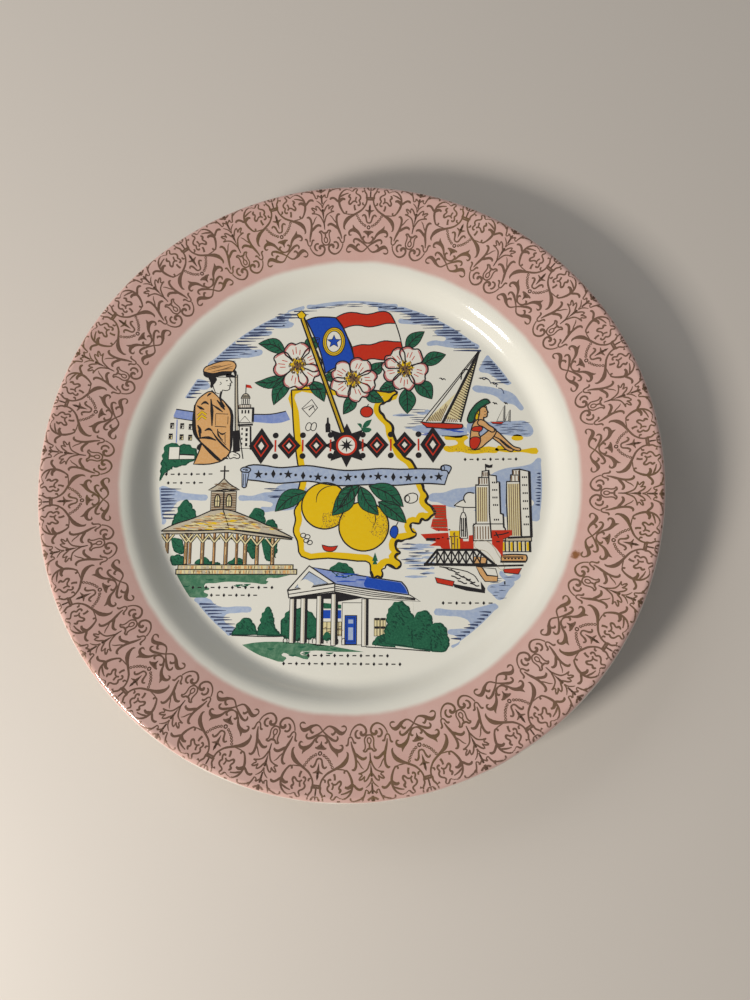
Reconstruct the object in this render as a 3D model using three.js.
// Souvenir plate: an earthenware plate with a rolled lip, a sloping rim, a shallow well and a turned foot.
// Four glaze coats cover all of it but the foot's resting face. Two fired prints lie on the glaze: the
// picture on the floor of the well, and the gilt lace round the rim.
// Millimetres, +Z up, with the origin at the centre of the foot's resting face.
import * as THREE from "three";

// Overall sizes
const plateDiameter = 254; // over the glazed lip
const plateHeight = 24; // from the resting face to the top of the glazed lip

// The face, as fired biscuit before it is glazed
const rimWidth = 32; // from the edge of the lip in to the shoulder
const rimSlope = THREE.MathUtils.degToRad(16);
const wallRun = 12.8; // from the shoulder in to the floor of the well
const floorHeight = 7;
const coveReach = 6; // how softly the floor turns up into the wall
const shoulderReach = 7; // how softly the wall turns over into the rim

// The back
const lipThickness = 4;
const baseThickness = 4.2;
const backShoulderShift = 2; // the shoulder at the back lies this much further out
const backWallReach = 8; // how softly the back of the rim turns down to the foot
const footRootReach = 5; // how softly it lands on the foot
const footInset = 1; // from the floor's edge in to the foot's outer side
const footWidth = 4.6;
const footRootFlare = 1.7; // the foot is this much wider where it leaves the base
const footRootRise = 0.5; // and its outer root this much higher than the base
const footEdge = 0.6; // the small bevels beside the resting face
const wipedHeight = 1.1; // the glaze is wiped off the foot up to here

// Coats and prints
const glazeThickness = 0.3;
const printThickness = 0.08;
const layerGap = 0.02; // between a layer and what it lies on
const pictureMargin = 0.6; // from the picture's edge to the edge of the floor
const laceLipMargin = 0.6; // from the lace's outer edge to where the lip rolls over
const lacePlainBand = 5.5; // pink left plain between the lace and the shoulder

// How finely round stretches are cut
const turns = 64;
const wallSteps = 7;
const lipSteps = 6;

const lipRadius = lipThickness / 2;
const coatReach = layerGap + glazeThickness; // how far the outside of a coat stands off the biscuit
const biscuitRadius = plateDiameter / 2 - coatReach;
const shoulderRadius = biscuitRadius - rimWidth;
const floorRadius = shoulderRadius - wallRun;
const baseHeight = floorHeight - baseThickness;
const footOuter = floorRadius - footInset;
const footInner = footOuter - footWidth;

const point = (radius, height) => new THREE.Vector2(radius, height);
const outward = point(Math.cos(rimSlope), Math.sin(rimSlope)); // up the rim, away from the centre
const faceNormal = point(-outward.y, outward.x);
const lipCentre = point(biscuitRadius - lipRadius, plateHeight - coatReach - lipRadius);

// The point of the rim's face (side 1) or back (side -1) at a radius.
function onRim(radius, side) {
  const start = lipCentre.clone().addScaledVector(faceNormal, side * lipRadius);
  return start.addScaledVector(outward, (radius - start.x) / outward.x);
}

function curvePoints(controls, steps) {
  return new THREE.CubicBezierCurve(...controls).getPoints(steps);
}

// Each stretch of the biscuit's outline, from the middle of the face over the lip to the middle of the base.
function outlineStretches() {
  const shoulder = onRim(shoulderRadius, 1);
  const backShoulder = onRim(shoulderRadius + backShoulderShift, -1);
  const footRoot = point(footOuter + footRootFlare, baseHeight + footRootRise);
  const well = [
    point(0, floorHeight),
    ...curvePoints(
      [
        point(floorRadius, floorHeight),
        point(floorRadius + coveReach, floorHeight),
        shoulder.clone().addScaledVector(outward, -shoulderReach),
        shoulder,
      ],
      wallSteps,
    ),
  ];
  const quarter = Math.PI / 2;
  const lip = new THREE.Path();
  lip.absarc(lipCentre.x, lipCentre.y, lipRadius, rimSlope + quarter, rimSlope - quarter, true);
  const lipPoints = lip.getPoints(lipSteps);
  const lipMiddle = lipSteps / 2;
  const rim = lipPoints.slice(0, lipMiddle + 1);
  const back = [
    ...lipPoints.slice(lipMiddle + 1),
    ...curvePoints(
      [
        backShoulder,
        backShoulder.clone().addScaledVector(outward, -backWallReach),
        point(footRoot.x + footRootReach, footRoot.y),
        footRoot,
      ],
      wallSteps,
    ),
    point(footOuter, wipedHeight),
  ];
  const foot = [
    point(footOuter, footEdge),
    point(footOuter - footEdge, 0),
    point(footInner + footEdge, 0),
    point(footInner, footEdge),
    point(footInner, wipedHeight),
  ];
  const recess = [point(footInner - footRootFlare, baseHeight), point(0, baseHeight)];
  return { well, rim, back, foot, recess };
}

// Moves an outline off itself along its own normals, so that two coats which share a point meet there.
function standOff(points, distance) {
  return points.map((at, i) => {
    const before = points[Math.max(i - 1, 0)];
    const after = points[Math.min(i + 1, points.length - 1)];
    const along = after.clone().sub(before).normalize();
    return point(at.x - along.y * distance, at.y + along.x * distance);
  });
}

// Turns a closed profile about the upright axis. The profile runs clockwise, with the radius to the right.
function turned(profile) {
  return new THREE.LatheGeometry([...profile].reverse(), turns).rotateX(Math.PI / 2);
}

function piece(name, profile, material) {
  const mesh = new THREE.Mesh(turned(profile), material);
  mesh.name = name;
  return mesh;
}

const stretches = outlineStretches();
const outline = Object.values(stretches).flat();
const coatInside = standOff(outline, layerGap);
const coatOutside = standOff(outline, coatReach);

// The closed profile of the coat that lies on the outline from one point to another.
function coat(from, to) {
  const profile = [...coatOutside.slice(from, to + 1), ...coatInside.slice(from, to + 1).reverse()];
  return profile[0].x === 0 ? profile : [...profile, profile[0]];
}

const shoulderAt = stretches.well.length - 1;
const lipAt = shoulderAt + stretches.rim.length;
const wipedOutsideAt = lipAt + stretches.back.length;
const wipedInsideAt = wipedOutsideAt + stretches.foot.length;

// A print is a thin film on the glaze, between two radii of a straight stretch of the outline.
const printReach = coatReach + layerGap;

function picturePrint() {
  const radius = floorRadius - pictureMargin;
  const under = floorHeight + printReach;
  const over = under + printThickness;
  return [point(0, over), point(radius, over), point(radius, under), point(0, under)];
}

function lacePrint() {
  const outerEdge = onRim(stretches.rim[0].x - laceLipMargin, 1);
  const innerEdge = onRim(shoulderRadius + lacePlainBand, 1);
  const [innerOver, outerOver, outerUnder, innerUnder] = [
    innerEdge.clone().addScaledVector(faceNormal, printReach + printThickness),
    outerEdge.clone().addScaledVector(faceNormal, printReach + printThickness),
    outerEdge.clone().addScaledVector(faceNormal, printReach),
    innerEdge.clone().addScaledVector(faceNormal, printReach),
  ];
  return [innerOver, outerOver, outerUnder, innerUnder, innerOver];
}

function finish(color, roughness, metalness = 0) {
  return new THREE.MeshStandardMaterial({ color, roughness, metalness });
}

const earthenware = finish(0xd9ccb4, 0.85);
const ivoryGlaze = finish(0xe9e4d2, 0.12);
const pinkGlaze = finish(0xd29f95, 0.14);
const pictureEnamel = finish(0xdfe0da, 0.2);
const wornGilding = finish(0x6d4a3a, 0.35, 0.5);

const plate = new THREE.Group();
plate.name = "souvenir_plate";
plate.add(
  piece("plate_body", outline, earthenware),
  piece("well_glaze", coat(0, shoulderAt), ivoryGlaze),
  piece("rim_pink_glaze", coat(shoulderAt, lipAt), pinkGlaze),
  piece("back_glaze", coat(lipAt, wipedOutsideAt), ivoryGlaze),
  piece("foot_recess_glaze", coat(wipedInsideAt, outline.length - 1), ivoryGlaze),
  piece("picture_print", picturePrint(), pictureEnamel),
  piece("rim_lace_print", lacePrint(), wornGilding),
);

export default plate;
